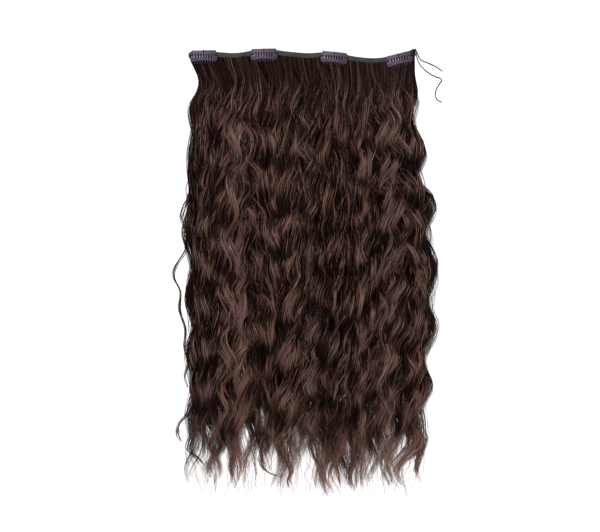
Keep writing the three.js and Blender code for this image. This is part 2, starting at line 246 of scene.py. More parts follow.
# %% Weft line and hair tables
WEFT_LENGTH, WEFT_HEIGHT, WEFT_THICKNESS, GAP = 204.0, 4.4, 2.0, 0.3
HAIR_LENGTH, HAIR_DEPTH, ROOT_DEPTH = 394.0, 15.0, 1.6
ROOT_RUN, RISE_RUN = 16.0, 60.0
WAVE_LENGTH, WAVE_SWING, WAVE_LIFT = 53.0, 4.6, 0.2
WAVE_RISE = (0.02, 0.13)
LOCK_WIDTH, LOCK_TAPER_FROM = 25.0, 0.74

weft_points = np.array([v.co for v in frame["nodes"]["weft"].data.vertices]) / MM
weft_stations = np.unique(np.round(weft_points[:, 0], 3))
weft_tops = [
    weft_points[np.abs(weft_points[:, 0] - x) < 0.01, 1].max() for x in weft_stations
]
top_edge = smooth_line(weft_stations, weft_tops)

# share of the length, left and right edge as shares of half the weft, share of the depth
LEVELS = np.array(
    [
        (0, -0.985, 0.985, 0.1),
        (0.063, -0.9, 0.985, 0.3),
        (0.12, -0.965, 0.99, 0.6),
        (0.22, -0.955, 1.01, 0.8),
        (0.34, -0.995, 1.09, 0.92),
        (0.45, -0.985, 1.135, 1),
        (0.54, -0.98, 1.15, 1),
        (0.63, -0.975, 1.12, 0.98),
        (0.74, -0.98, 1.075, 0.9),
        (0.87, -0.975, 1.055, 0.7),
        (1, -0.97, 1.02, 0.34),
    ]
)
left_line = smooth_line(LEVELS[:, 0], LEVELS[:, 1])
right_line = smooth_line(LEVELS[:, 0], LEVELS[:, 2])
depth_line = smooth_line(LEVELS[:, 0], LEVELS[:, 3])

# lane, reach, width, phase of the wave, its length and its swing
MAIN_LOCKS = [
    (-0.93, 0.91, 0.8, 0.1, 1.1, 0.6),
    (-0.77, 0.957, 1, 0.52, 0.98, 0.8),
    (-0.62, 0.983, 1, 0.3, 1.15, 0.9),
    (-0.47, 0.952, 0.95, 0.85, 1, 0.8),
    (-0.31, 0.94, 1, 0.62, 1.08, 1),
    (-0.15, 0.98, 1.05, 0.12, 0.96, 0.7),
    (0, 0.9, 0.9, 0.4, 1.12, 0.9),
    (0.16, 1, 1.05, 0.74, 1.02, 0.8),
    (0.31, 0.975, 1, 0.22, 1.18, 0.9),
    (0.45, 0.99, 0.95, 0.5, 0.97, 0.8),
    (0.6, 0.925, 1, 0.95, 1.1, 1),
    (0.77, 0.975, 1, 0.35, 1.05, 0.9),
    (0.93, 0.978, 0.8, 0.7, 1, 1),
]


def hair_x(lane, down):
    """Where a lane lies across the hair, at a share down its length."""
    left, right = left_line(down), right_line(down)
    return ((left + right) / 2 + lane * (right - left) / 2) * WEFT_LENGTH / 2


def hair_y(x, down):
    """How far down the table a level lies: it follows the weft's line near the roots."""
    follow = 1 - smoothstep(down, 0, 0.3)
    straight, root = -WEFT_HEIGHT / 2, top_edge(x) - WEFT_HEIGHT
    return straight + (root - straight) * follow - GAP - down * HAIR_LENGTH


def hair_depth(down):
    """How high the hair stands: flat under the clips, then rising to its full depth."""
    rise = smoothstep(down * HAIR_LENGTH - ROOT_RUN, 0, RISE_RUN)
    return ROOT_DEPTH + (depth_line(down) * HAIR_DEPTH - ROOT_DEPTH) * rise


print("weft stations:", len(weft_stations), "main locks:", len(MAIN_LOCKS))

# %% [markdown]
# Two loose ends of the sewing thread hang from the weft's right end. They are cords, made before
# everything else. Each is a tube of two plies wound round each other, and lies on the table along the
# same points as in the CAD model.

# %% Loose thread ends
THREAD_RADIUS, PLY_LENGTH, PLY_DIP = 0.49, 2.2, 0.2
THREAD_STATIONS, THREAD_SIDES, POINT_EVERY = 160, 10, 6
FRAYED_FROM, FRAYED_THINNER = 0.97, 0.45
LONG_THREAD = [
    (0.85, -3.3, 1.1), (1.2, -6, 0.7), (2.2, -9.6, 0.5), (4.9, -14.5, 0.5), (8.6, -18.3, 0.5),
    (13.6, -22, 0.5), (19, -24.7, 0.5), (22.6, -25.9, 0.5), (23.7, -27.7, 0.5),
    (22, -30.2, 0.5), (19.5, -34.6, 0.5), (17.9, -39.2, 0.5), (18.8, -43.7, 0.5),
    (21.4, -46.2, 0.5), (24.3, -47.3, 0.5),
]  # fmt: skip
SHORT_THREAD = [
    (0.85, -1.4, 1.1), (2.2, -3.9, 0.8), (3.2, -7, 0.55), (5.6, -9.5, 0.5),
    (11.4, -12, 0.5), (19, -15.7, 0.5), (24.4, -19.5, 0.5),
]  # fmt: skip


def through(points, stations):
    """A smooth line through points, with its stations evenly spread."""
    points = np.asarray(points, float)
    knots = np.concatenate([[0], np.cumsum(np.linalg.norm(np.diff(points, axis=0), axis=1))])
    at = np.linspace(0, knots[-1], stations)
    return np.stack([smooth_line(knots, column)(at) for column in points.T], -1)


def length_of(line):
    return np.linalg.norm(np.diff(line, axis=0), axis=1).sum()


def thread_paint(name, colour):
    finish = Finish(name)
    place = finish.node("ShaderNodeTexCoord", output="Object")
    fibre = finish.noise(place, 2400.0, 2.0)
    bright = tuple(min(1, 2.2 * c) for c in colour)
    return finish.surface(
        Base_Color=finish.mix(fibre, (*colour, 1), (*bright, 1)),
        Roughness=0.7 + 0.2 * (fibre - 0.5),
        Specular_IOR_Level=0.15,
    )


black_thread = thread_paint("black_thread", (0.004, 0.0037, 0.0045))
weft_end = np.array([WEFT_LENGTH / 2, top_edge(WEFT_LENGTH / 2), 0])
for name, route in (("thread_end_long", LONG_THREAD), ("thread_end_short", SHORT_THREAD)):
    line = through(weft_end + np.array(route), THREAD_STATIONS)
    wound = np.linspace(0, length_of(line) / PLY_LENGTH, THREAD_STATIONS) * 2 * math.pi
    turn = np.linspace(0, 2 * math.pi, THREAD_SIDES, endpoint=False)
    plies = 1 - PLY_DIP * np.sin(turn[None, :] - wound[:, None]) ** 2
    frayed = 1 - FRAYED_THINNER * smoothstep(np.linspace(0, 1, THREAD_STATIONS), FRAYED_FROM, 1)
    radii = THREAD_RADIUS * (frayed[:, None] * plies)
    mesh = tubes(name, line[None], radii[None], THREAD_SIDES)
    thread = dress(name + "_yarn", mesh, black_thread, nodes=[name])

# %% [markdown]
# Hair is not one brown. Each strand carries three numbers, worked out when it is grown: how light it
# is, how warm it is, and how far down the hair a point lies. How light it is holds the hair's own
# tone and also painted light: painted shade near the roots, in the valleys and deep in the locks, and
# painted highlights on the wave crests. The finish turns these into colour: darkened by painted shade
# at the roots, faded at the tips, and warmer or cooler from strand to strand. Fine streaks run along
# each strand, and whole locks turn from gold to plum. Both use the strands' own map, in which u
# crosses the strands and v runs along them.

# %% Hair finish
STRAND_MAP = "OFBake"
STRAND_FACTS = "strand"
BLACK, DARK = (0.0008, 0.0003, 0.0002), (0.0045, 0.0015, 0.0011)
BROWN, LIGHT = (0.0195, 0.0091, 0.0071), (0.124, 0.076, 0.063)
FADED = (0.23, 0.135, 0.1)
WARM, COOL = (1.2, 0.93, 0.88), (0.92, 1.0, 1.07)
GOLD, PLUM = (1.0, 1.05, 0.76), (1.0, 0.92, 1.18)
LOCK_HUES, HUE_CONTRAST = (24.0, 3.0, 1.0), 3.2
STREAK_TONE, STREAK_GLOSS, FADE_POWER = 0.3, 0.16, 13


def hair_finish(name, streaks, roughness):
    finish = Finish(name)
    settings = {"attribute_type": "GEOMETRY", "attribute_name": STRAND_FACTS}
    facts = finish.node("ShaderNodeAttribute", settings, output="Vector")
    # the light fact is the strand's tone with painted shade and painted highlights already in it
    light = finish.node("ShaderNodeSeparateXYZ", {}, [facts], "X")
    warmth = finish.node("ShaderNodeSeparateXYZ", {}, [facts], "Y")
    level = finish.node("ShaderNodeSeparateXYZ", {}, [facts], "Z")
    strand_map = finish.node("ShaderNodeUVMap", {"uv_map": STRAND_MAP})
    streak = finish.noise(finish.stretched(strand_map, streaks), 1.0, 3.0)
    tone = light + STREAK_TONE * (streak - 0.5)
    brown = finish.ramp(tone, [(0, BLACK), (0.28, DARK), (0.56, BROWN), (0.96, LIGHT)])
    colour = finish.mix(level**FADE_POWER * (0.2 + 1.2 * tone), brown, (*FADED, 1))
    hue = finish.noise(finish.stretched(strand_map, LOCK_HUES), 1.0, 4.0)
    hue = 0.5 + HUE_CONTRAST * (hue - 0.5)
    for share, low, high in ((warmth, COOL, WARM), (hue, PLUM, GOLD)):
        colour = finish.mix(share, finish.stretched(colour, low), finish.stretched(colour, high))
    return finish.surface(
        Base_Color=colour,
        Roughness=roughness + STREAK_GLOSS * (streak - 0.5),
        Specular_IOR_Level=0.15,
        Specular_Tint=(1.0, 0.62, 0.5, 1),
    )


hair_paint = hair_finish("brown_hair", (2600.0, 9.0, 1.0), 0.37)
core_paint = hair_finish("brown_hair_core", (70.0, 5.0, 1.0), 0.7)

# %% [markdown]
# A strand is a thin ribbon, because thousands of round tubes would be far too heavy. Each
# ribbon rolls at random about its own line, so that together they catch the light as round
# hairs do. All strands of a set are grown at once, as an array of strands by stations. The
# hair is straight near the weft, so fewer stations lie there and more in the waves.

# %% Ribbons
STATIONS = 77
STRAIGHT_STATIONS, STRAIGHT_SHARE = 0.08, 0.12
ALONG = np.interp(
    np.linspace(0, 1, STATIONS), [0, STRAIGHT_STATIONS, 1], [0, STRAIGHT_SHARE, 1]
)[None, :]
TABLE_CLEARANCE, LARGEST_ROLL = 0.12, 0.9
MAP_MARGIN = 0.12


def wander(strands, stations, knots, size):
    """Slow random drift along each strand, one curve per strand."""
    drawn = rng.normal(0, size, (strands, knots))
    at = np.linspace(0, knots - 1.001, stations)
    i, t = at.astype(int), at % 1
    t = t * t * (3 - 2 * t)
    return drawn[:, i] * (1 - t) + drawn[:, i + 1] * t


def ribbons(name, line, width, light, warmth):
    """Ribbons along lines (strands x stations x 3), as wide as width says at each station."""
    strands, stations, _ = line.shape
    along = unit(np.gradient(line, axis=1))
    side = unit(np.cross(along, (0.0, 0.0, 1.0)))
    up = np.cross(side, along)
    roll = rng.uniform(-LARGEST_ROLL, LARGEST_ROLL, (strands, 1))
    roll = roll + wander(strands, stations, 6, 0.35)
    across = side * np.cos(roll)[..., None] + up * np.sin(roll)[..., None]
    half = 0.5 * width[..., None] * across
    edges = np.stack([line - half, line + half], 2)
    edges[..., 2] = np.maximum(edges[..., 2], TABLE_CLEARANCE)
    at = np.arange(strands * stations * 2).reshape(strands, stations, 2)
    faces = np.stack([at[:, :-1, 0], at[:, :-1, 1], at[:, 1:, 1], at[:, 1:, 0]], -1)
    mesh = new_mesh(name, edges.reshape(-1, 3), faces.reshape(-1, 4))
    share = np.broadcast_to(np.linspace(0, 1, stations)[None, :, None], at.shape)
    order = np.broadcast_to(np.arange(strands)[:, None, None], at.shape)
    cross = (order + MAP_MARGIN + (1 - 2 * MAP_MARGIN) * np.arange(2)) / strands
    corners = faces.ravel()
    uv = np.stack([cross.ravel()[corners], share.ravel()[corners]], -1)
    layer = mesh.uv_layers.new(name=STRAND_MAP)
    layer.data.foreach_set("uv", uv.astype(np.float32).ravel())
    level = -line[..., 1] / HAIR_LENGTH
    facts = [np.broadcast_to(v[..., None], at.shape) for v in (light, warmth, level)]
    written = mesh.attributes.new(STRAND_FACTS, "FLOAT_VECTOR", "POINT")
    written.data.foreach_set("vector", np.stack(facts, -1).astype(np.float32).ravel())
    return mesh


# %% [markdown]
# Hair clings in tufts. A strand takes nearly all that it is from its tuft: its length, its
# place in the lock, its tone and its drift. It strays from the tuft only a little. So random
# numbers are drawn twice, largely for the tuft and then a little for the strand.


# %% Tufts
STRANDS_A_TUFT, FEWEST_TUFTS = 6, 3


class Tufts:
    """Random numbers for strands that cling in tufts."""

    def __init__(self, count):
        self.count = count
        self.tufts = max(FEWEST_TUFTS, count // STRANDS_A_TUFT)
        self.tuft_of = rng.integers(0, self.tufts, count)

    def uniform(self, low, high):
        """One number a tuft, between low and high."""
        return rng.uniform(low, high, (self.tufts, 1))

    def spread(self, size):
        """One number a strand, around nought."""
        return rng.normal(0, size, (self.count, 1))

    def shared(self, of_tuft, of_strand=0):
        """A tuft's numbers handed to its strands, which add their own."""
        return of_tuft[self.tuft_of] + of_strand

    def around(self, tuft_size, strand_size=0):
        """One number a strand, around nought, most of it the tuft's."""
        return self.shared(rng.normal(0, tuft_size, (self.tufts, 1)), self.spread(strand_size))

    def drift(self, of_tufts, of_strands=None):
        """Slow drift along the strands. Each of the two is a number of bends and a size."""
        drift = self.shared(wander(self.tufts, STATIONS, *of_tufts))
        if of_strands:
            drift = drift + wander(self.count, STATIONS, *of_strands)
        return drift


# %% [markdown]
# A lock is a bundle of strands that wave together. Its middle line swings from side to side
# and up and down. Every strand starts where it was sewn into the weft, is gathered into its
# lock a little lower, and ends where its tuft was cut. Near the tip most strands draw
# together while some stray. The main locks fill the whole depth of the hair, and the upper
# locks are flatter and lie at a height of their own, raised, as a share of that depth.

# %% Locks
CUT_UNEVENLY, SHORT_TUFTS, SHORT_LENGTHS = 0.17, 0.08, (0.65, 0.95)
ROOT_IN_WEFT, ROOT_HEIGHT_IN_WEFT = 1.6, 1.4
GATHERED = (0.01, 0.11)
TIP_DRAWS_IN, STRAY_STAYS_OUT = 0.74, 0.6
ROOT_SPREAD, STRAND_SPREAD, LEAN_OF_STRAYS, LOOSE_ENDS = 1.2, 0.22, 7.0, 0.9
UPPER_SWELL, LOWEST_HAIR = 0.16, 0.25


class Lock(Tufts):
    """The strands of one lock, in millimetres. u and v are a strand's place in the bundle."""

    def __init__(self, count, reach, width, phase, wave, look):
        super().__init__(count)
        self.width, self.look = width, look
        uneven = 1 - CUT_UNEVENLY * rng.beta(1.0, 2.0, (self.tufts, 1))
        cut = self.shared(uneven, self.spread(0.008))
        short = rng.random((self.tufts, 1)) < SHORT_TUFTS
        cut = cut * self.shared(np.where(short, self.uniform(*SHORT_LENGTHS), 1))
        start = -ROOT_IN_WEFT / HAIR_LENGTH
        self.down = start + (reach * np.minimum(cut, 1) - start) * ALONG
        self.share = np.clip(self.down / reach, 0, 1)
        self.started = smoothstep(self.down, *WAVE_RISE)
        self.ending = smoothstep(self.share, LOCK_TAPER_FROM, 1)

        lag = self.around(0.05, 0.015) + self.drift((7, 0.05), (7, 0.012)) + look["lag"]
        self.turn = 2 * math.pi * (self.down * HAIR_LENGTH / wave + phase + lag)
        angle = self.shared(self.uniform(0, 2 * math.pi), self.spread(0.19))
        angle = angle + look["twist"] * self.turn
        out = self.shared(np.sqrt(self.uniform(0.05, 1)), self.spread(0.08))
        out = np.clip(out, 0, 1.05)
        self.u = out * np.cos(angle) + self.drift((8, 0.09))
        self.v = out * np.sin(angle)
        self.stray = self.shared(self.uniform(0, 1) ** 2.0)
        self.taper = 1 - (TIP_DRAWS_IN - STRAY_STAYS_OUT * self.stray) * self.ending
        self.frizz = look["frizz"] * smoothstep(self.down, 0.02, 0.2)

    def sideways(self, lane, swing):
        """x of every point: gathered from the weft into the lock, swinging with its wave."""
        look, down, stray, ending = self.look, self.down, self.stray, self.ending
        aside = self.shared(self.uniform(-ROOT_SPREAD, ROOT_SPREAD), self.spread(STRAND_SPREAD))
        root_lane = np.clip(lane + aside * LOCK_WIDTH * self.width / WEFT_LENGTH, -0.99, 0.99)
        swung = self.started * (1 + (0.7 * stray - 0.1) * ending) * swing * look["sway"]
        drift = look["drift"](down) if look["drift"] else 0
        middle = hair_x(lane + drift, down) + swung * np.sin(self.turn)
        half = LOCK_WIDTH / 2 * self.width * self.taper
        gathered = smoothstep(down, *GATHERED)
        x = hair_x(root_lane, down) * (1 - gathered) + (middle + self.u * half) * gathered
        lean = self.shared(rng.normal(0, LEAN_OF_STRAYS, (self.tufts, 1))) * stray + look["lean"]
        x = x + ending**1.7 * lean + self.spread(LOOSE_ENDS) * smoothstep(self.share, 0.9, 1)
        return x + self.frizz * self.drift((24, 0.45), (20, 0.3))

    def upwards(self, raised, thick):
        """z of every point: through the whole depth, or round the height raised."""
        height = hair_depth(self.down)
        if raised is None:
            lift = 1 - self.started * WAVE_LIFT * (1 + np.cos(self.turn))
            top = height * lift * np.sqrt(self.taper)
            dome = np.sqrt(np.clip(1 - 0.7 * self.u * self.u, 0.1, 1))
            z = 0.2 + (top - 0.2) * (0.5 + 0.5 * self.v * dome)
        else:
            swell = UPPER_SWELL * np.cos(self.turn + self.look["roll"]) * self.started
            z = height * (raised + swell)
            z = z + 0.5 * thick * self.v * self.taper * np.minimum(1, height / 6)
        z = z + self.frizz * wander(self.count, STATIONS, 18, 0.3) * np.minimum(1, height / 4)
        return np.maximum(z, LOWEST_HAIR)

    def tones(self, crest):
        """How light and how warm the strands are, with painted highlights on the wave crests and
        painted shade low in the lock and near the roots. crest is 1 on top of the waves.
        """
        look, down = self.look, self.down
        light = (
            look["light"]
            + self.around(0.06, 0.14)
            + rng.choice([-0.26, 0, 0.3], (self.count, 1), p=[0.25, 0.6, 0.15])
            + self.drift((8, 0.06))
            # painted highlight on the crests of the waves
            + look["crest_highlight"] * crest * self.started * (1 - 0.7 * self.ending)
            # painted shade: strands lower in the lock are darker
            + 0.1 * self.v
            + 0.05 * smoothstep(down, 0.5, 0.75)
            + 0.26 * smoothstep(down, 0.78, 0.92)
            # painted shade near the roots
            - 0.2 * (1 - smoothstep(down, 0.03, 0.17))
        )
        warmth = look["warmth"] + self.around(0.22, 0.15)
        return light, np.clip(warmth, 0, 1) * np.ones_like(light)


def lock_strands(count, lane, reach, width, phase, wave, swing, look, raised=None, thick=0):
    """Middle lines, widths, tones and warmth of one lock's strands, in millimetres."""
    lock = Lock(count, reach, width, phase, wave, look)
    x = lock.sideways(lane, swing)
    z = lock.upwards(raised, thick)
    in_weft = top_edge(x) - WEFT_HEIGHT + ROOT_HEIGHT_IN_WEFT
    y = np.where(lock.down < 0, in_weft, hair_y(x, lock.down))
    fine = rng.uniform(0.3, 0.58, (count, 1))
    ribbon = fine * (1 - 0.7 * smoothstep(ALONG, 0.84, 1.0)) * np.ones_like(x)
    turn = lock.turn
    crest = -np.cos(turn) if raised is None else np.cos(turn + look["roll"])
    return np.stack([x, y, z], -1), ribbon, *lock.tones(crest)


# %% [markdown]
# No two locks are alike, so each gets a look of its own before it is grown. Thirteen main
# locks lie side by side, and many narrower ones lie over them and wander across.


# %% Grow the locks
def look_of_lock(light, stray):
    """How one lock differs from the next. stray is how far it wanders across its neighbours."""
    knots = np.cumsum(np.concatenate([[0, 0], rng.normal(0, 0.6 * stray, 6)]))
    return {
        "light": light + rng.normal(0, 0.06),
        "warmth": rng.uniform(0.05, 0.95),
        "twist": rng.choice([-1, 1]) * rng.uniform(0.02, 0.14),
        "roll": rng.choice([0, math.pi]) + rng.uniform(-0.9, 0.9),
        "lag": wander(1, STATIONS, 6, 0.09),
        "sway": 1 + wander(1, STATIONS, 7, 0.25),
        "lean": rng.normal(0, 4.5),
        # how strong the painted highlight on its crests is
        "crest_highlight": rng.uniform(0.06, 0.18),
        "frizz": rng.uniform(0.35, 1.0),
        "drift": smooth_line(np.linspace(0, 1, 8), knots - knots.mean() * 0.5) if stray else None,
    }


MAIN_STRANDS, UPPER_STRANDS, UPPER_LOCKS, HAIR_PIECES = 176, 64, 44, 6
grown = []
for lane, reach, width, phase, wave, swing in MAIN_LOCKS:
    made = lock_strands(
        MAIN_STRANDS, lane, reach, width, phase, wave * WAVE_LENGTH, swing * WAVE_SWING,
        look_of_lock(0.38, 0),
    )
    grown.append((lane, made))
for number in range(UPPER_LOCKS):
    lane = -0.95 + 1.9 * (number + rng.uniform(0.1, 0.9)) / UPPER_LOCKS
    made = lock_strands(
        UPPER_STRANDS, lane, rng.uniform(0.8, 0.97), rng.uniform(0.35, 0.85),
        rng.uniform(0, 1), rng.uniform(29, 50), rng.uniform(1.3, 4.0),
        look_of_lock(0.43, 0.028), rng.uniform(0.55, 0.98), rng.uniform(3.5, 6),
    )
    grown.append((lane, made))
print("strands:", sum(len(made[0]) for _, made in grown))

# %% [markdown]
# Light hardly reaches the hair between two locks, and it shines on their crests. This is painted into
# the strands' tones as painted shade and painted highlights. The hair's own height tells where that
# is: a strand gets darker where it lies deep under its neighbours or in a valley, and lighter where
# it stands above them. Painted lit and dark patches are laid over that as well.

# %% Valleys and crests
CELL = 1.5
BURIED_SHADE, VALLEY_SHADE, PATCH_LIGHT = 0.06, 0.12, 0.3
PATCH_CELLS, COLUMN_SHADE, GAP_SHADE = (9, 17), 0.44, 1.4
SWAY_LENGTH, SWAY = 33, 2.8


def blur(grid, reach):
    """The mean of a grid over reach cells each way."""
    kernel = np.ones(2 * reach + 1) / (2 * reach + 1)
    for axis in (0, 1):
        grid = np.apply_along_axis(np.convolve, axis, grid, kernel, "same")
    return grid


everywhere = np.concatenate([made[0].reshape(-1, 3) for _, made in grown])
corner = everywhere[:, :2].min(axis=0)
cells = ((everywhere[:, :2] - corner) / CELL).astype(int)
tops = np.zeros(cells.max(axis=0) + 1)
np.maximum.at(tops, (cells[:, 0], cells[:, 1]), everywhere[:, 2])
covered = (tops > 0).astype(float)
near = blur(tops, 1) / (blur(covered, 1) + 1e-6)
cover = blur(blur(covered, 5), 5)
far = blur(blur(tops, 5), 5) / (cover + 1e-6)
inside = smoothstep(cover, 0.55, 0.95)

# Painted highlights and painted shade follow each other in patches down every column of hair, and the
# columns have dark gaps of painted shade between them.
painted_patches = []
while len(painted_patches) < len(tops):
    signs = np.resize([1.0, -1.0], 1 + tops.shape[1] // PATCH_CELLS[0])
    runs = [np.full(rng.integers(*PATCH_CELLS), sign * rng.uniform(0.15, 0.8)) for sign in signs]
    column = np.roll(np.concatenate(runs)[: tops.shape[1]], rng.integers(0, 26))
    column = column + rng.normal(0, COLUMN_SHADE)
    painted_patches += [column] * rng.integers(5, 12) + [column - GAP_SHADE] * rng.integers(1, 4)
painted_patches = blur(blur(np.array(painted_patches[: len(tops)]), 2), 1) + 0.08


def shaded(line, light):
    """Tones with painted shade in the valleys and under other hair, and painted light on the crests
    and in the lit patches.
    """
    at = ((line[..., :2] - corner) / CELL).astype(int)
    at = np.clip(at, 0, np.array(tops.shape) - 1)
    buried = np.clip(near[at[..., 0], at[..., 1]] - line[..., 2], -1, 6)
    valley = np.clip(far[at[..., 0], at[..., 1]] - near[at[..., 0], at[..., 1]], -4, 6)
    valley = valley * inside[at[..., 0], at[..., 1]]
    waved = smoothstep(-line[..., 1] / HAIR_LENGTH, 0.08, 0.2)
    sway = SWAY * np.sin(line[..., 1] * 2 * math.pi / SWAY_LENGTH + line[..., 0] / 11) / CELL
    aside = np.clip(at[..., 0] + sway.astype(int), 0, len(tops) - 1)
    waved = waved * (1 + 0.5 * smoothstep(-line[..., 1] / HAIR_LENGTH, 0.6, 0.85))
    # painted highlights and painted shade of the patches
    light = light + PATCH_LIGHT * painted_patches[aside, at[..., 1]] * waved
    # painted shade under other hair and in the valleys, painted light where a strand stands above
    # them
    return light - BURIED_SHADE * buried - VALLEY_SHADE * valley


grown.sort(key=lambda row: row[0])
groups = np.array_split(np.arange(len(grown)), HAIR_PIECES)
for number, group in enumerate(groups, 1):
    line, width, light, warmth = (
        np.concatenate([grown[i][1][part] for i in group]) for part in range(4)
    )
    mesh = ribbons(f"hair_{number}", line, width, shaded(line, light), warmth)
    dress(f"hair_{number}", mesh, hair_paint)
    print(mesh.name, "strands:", len(line), "triangles:", 2 * len(mesh.polygons))

# %% [markdown]
# No real hair lies all in locks. Single strands bow out from both sides, some cross the locks
# slantwise, and wisps fade out beyond the tips. Three loose wisps of a few strands each lie beside
# the left edge, along listed routes.

# %% Stray strands
SIDE_STRAYS, CROSSING_STRAYS, TIP_WISPS = 34, 70, 230


def strays(count, lane, first, last, bow, above, thin):
    """Single strands from level first to level last that bow aside by bow millimetres."""
    along = np.linspace(0, 1, STATIONS)[None, :]
    down = first[:, None] + (last - first)[:, None] * along
    wave = rng.uniform(34, 60, (count, 1))
    turn = 2 * math.pi * (down * HAIR_LENGTH / wave + rng.random((count, 1)))
    swing = rng.uniform(0.6, 2.6, (count, 1)) * smoothstep(down, *WAVE_RISE)
    x = hair_x(lane[:, None], down) + bow[:, None] * np.sin(math.pi * along) ** 1.5
    x = x + swing * np.sin(turn) + wander(count, STATIONS, 9, 0.7)
    z = 0.25 + above[:, None] * hair_depth(down) + wander(count, STATIONS, 9, 0.2)
    line = np.stack([x, hair_y(x, down), np.maximum(z, 0.2)], -1)
    width = thin * rng.uniform(0.8, 1.2, (count, 1)) * (1 - 0.7 * along**4)
    light = 0.5 + rng.normal(0, 0.1, (count, 1)) + 0.4 * smoothstep(down, 0.8, 0.92)
    warmth = rng.uniform(0, 1, (count, 1)) * np.ones_like(x)
    return line, width, light, warmth


def draw(low, high, count):
    return rng.uniform(low, high, count)


side = np.repeat([-1.0, 1.0], SIDE_STRAYS // 2)
begin = draw(0.08, 0.75, SIDE_STRAYS)
sets = [
    strays(
        SIDE_STRAYS, side * draw(0.93, 1.0, SIDE_STRAYS), begin,
        np.minimum(begin + draw(0.12, 0.4, SIDE_STRAYS), 0.99),
        side * draw(1.0, 5.5, SIDE_STRAYS), draw(0.0, 0.3, SIDE_STRAYS), 0.3,
    )
]
begin = draw(0.1, 0.7, CROSSING_STRAYS)
sets.append(
    strays(
        CROSSING_STRAYS, draw(-0.9, 0.9, CROSSING_STRAYS), begin,
        np.minimum(begin + draw(0.15, 0.35, CROSSING_STRAYS), 0.98),
        rng.normal(0, 9, CROSSING_STRAYS), draw(0.95, 1.05, CROSSING_STRAYS), 0.32,
    )
)
begin = draw(0.74, 0.9, TIP_WISPS)
sets.append(
    strays(
        TIP_WISPS, draw(-0.98, 0.98, TIP_WISPS), begin,
        np.minimum(begin + draw(0.08, 0.22, TIP_WISPS), 1.0),
        rng.normal(0, 4, TIP_WISPS), draw(0.05, 0.6, TIP_WISPS), 0.26,
    )
)
LOOSE_STRANDS = [
    [(-103, -158), (-104.4, -171.4), (-116.1, -198.4), (-109.8, -211.9), (-110.7, -228.1),
     (-105.3, -247), (-106.2, -262.3), (-102.6, -275.8), (-106.2, -289.3), (-103.5, -298.3)],
    [(-101, -124), (-106.2, -134.5), (-108.9, -143.5), (-104.4, -158.8), (-100, -168)],
    [(-99, -312), (-103.5, -322.6), (-111.6, -333.4), (-111.6, -340.6), (-109, -347)],
]  # fmt: skip
LOOSE_COPIES, LOOSE_SPREAD = 6, 0.8
routes = [through([(x, y, 0.4) for x, y in row], STATIONS) for row in LOOSE_STRANDS]
loose = np.repeat(routes, LOOSE_COPIES, axis=0)
loose[..., 0] += rng.normal(0.3, LOOSE_SPREAD, (len(loose), 1))
loose[..., 0] += wander(len(loose), STATIONS, 9, 0.5)
loose[..., 2] += rng.uniform(0, 1.2, (len(loose), 1))
thin = 0.6 * (1 - 0.6 * np.linspace(0, 1, STATIONS) ** 3) * np.ones((len(loose), 1))
tones = 0.56 + rng.normal(0, 0.08, (len(loose), 1)) + 0 * thin
sets.append((loose, thin, tones, 0.6 * np.ones_like(thin)))
line, width, light, warmth = (np.concatenate([row[part] for row in sets]) for part in range(4))
mesh = ribbons("hair_strays", line, width, light, warmth)
dress("hair_strays", mesh, hair_paint)
print("stray strands:", len(line), "triangles:", 2 * len(mesh.polygons))

# %% [markdown]
# Eight tufts hang lower than the rest and shape the ragged lower edge. Each follows a short line of
# its own, and its strands draw together towards its tip.

# %% Hanging tufts
TUFT_STATIONS, TUFT_TIP_SHARE, TUFT_HEIGHT = 25, 0.24, 0.6
# strands, width where it starts, and its route
HANGING_TUFTS = [
    (12, 9, [(-90, -312), (-93.7, -331.2), (-98.9, -344.1), (-101.4, -353.1),
             (-92.4, -363.3), (-87.3, -371.1), (-83.4, -381.3)]),
    (32, 12, [(-63, -322), (-64.2, -342.7), (-62.2, -356.9), (-64.2, -369.7),
              (-63.5, -380.1), (-65.4, -390.3)]),
    (9, 6, [(-42, -335), (-37.2, -349.2), (-33.9, -354.3), (-38.4, -363.3),
            (-33.3, -372.3), (-23, -377.5), (-15.3, -380.1)]),
    (22, 10, [(-25, -340), (-17.9, -356.9), (-12.7, -365.9), (-10.2, -374.9),
              (-12.7, -382.6), (-9.5, -392.9)]),
    (36, 13, [(8, -328), (10.4, -346.6), (12.3, -360.7), (16.8, -372.3),
              (18.1, -383.9), (22, -394.5)]),
    (20, 9, [(22, -345), (26.5, -362.1), (30.3, -369.7), (32.3, -380.1),
             (33.6, -390.3)]),
    (34, 13, [(42, -328), (45.1, -346.6), (46.4, -362.1), (43.2, -374.9),
              (43.8, -385.2), (48.3, -394.2)]),
    (46, 15, [(103, -318), (107, -338), (108, -350), (104.6, -362.1),
              (102.5, -373), (107.1, -385.2)]),
]  # fmt: skip
tufts = []
for count, wide, route in HANGING_TUFTS:
    middle = through([(x, y, 0) for x, y in route], 4 * TUFT_STATIONS)
    share = rng.uniform(0.6, 1, (count, 1)) * np.linspace(0, 1, TUFT_STATIONS)
    steps = np.linspace(0, 1, len(middle))
    half = wide / 2 * (1 - (1 - TUFT_TIP_SHARE) * smoothstep(share, 0, 0.8))
    x = np.interp(share, steps, middle[:, 0]) + rng.uniform(-1, 1, (count, 1)) * half
    y = np.interp(share, steps, middle[:, 1])
    depth = hair_depth(-y / HAIR_LENGTH) * TUFT_HEIGHT
    x = x + wander(count, TUFT_STATIONS, 8, 0.8)
    z = 0.25 + rng.uniform(0, 1, (count, 1)) * depth
    width = rng.uniform(0.25, 0.5, (count, 1)) * (1 - 0.6 * smoothstep(share, 0.7, 1))
    light = 0.4 + rng.normal(0, 0.18, (count, 1)) + 0.2 * share
    warmth = rng.uniform(0, 0.7, (count, 1)) + 0 * x
    tufts.append((np.stack([x, y, z], -1), width, light, warmth))
